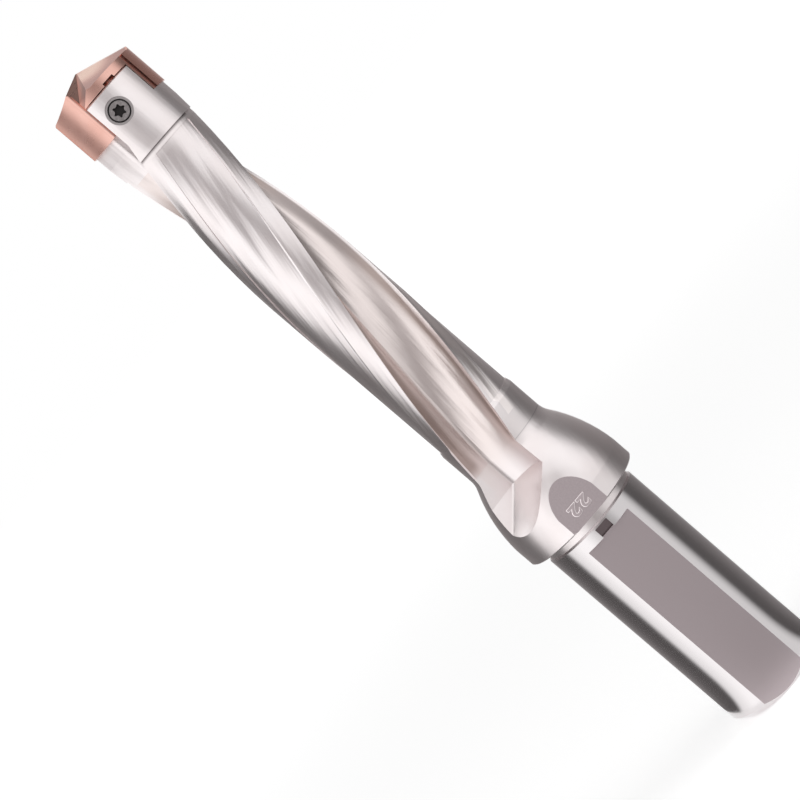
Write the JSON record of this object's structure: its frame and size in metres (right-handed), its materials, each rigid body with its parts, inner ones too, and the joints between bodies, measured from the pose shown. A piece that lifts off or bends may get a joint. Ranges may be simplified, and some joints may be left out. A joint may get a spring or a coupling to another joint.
{
  "type": "indexable insert drill",
  "caption": "Fluted steel drill holder with a ball flange and a flatted round shank, and a screw-clamped carbide crown that cuts holes in metal.",
  "frame": {"origin": "centre of the shank's end face, on the drill's axis", "axes": "+Z along the drill's axis towards the point; -Y is the side of the clamp screw, the size flat and the clamping flat"},
  "size_m": [0.031, 0.0301, 0.194],
  "materials": {
    "holder_steel": "satin nickel plated steel, with a ground shank",
    "coated_carbide": "copper-bronze vapour-deposited coating on ground carbide",
    "screw_steel": "blackened alloy steel"
  },
  "bodies": {
    "root": {"drill_body": "holder_steel", "tip_insert": "coated_carbide", "clamp_screw": "screw_steel"}
  },
  "joints": []
}
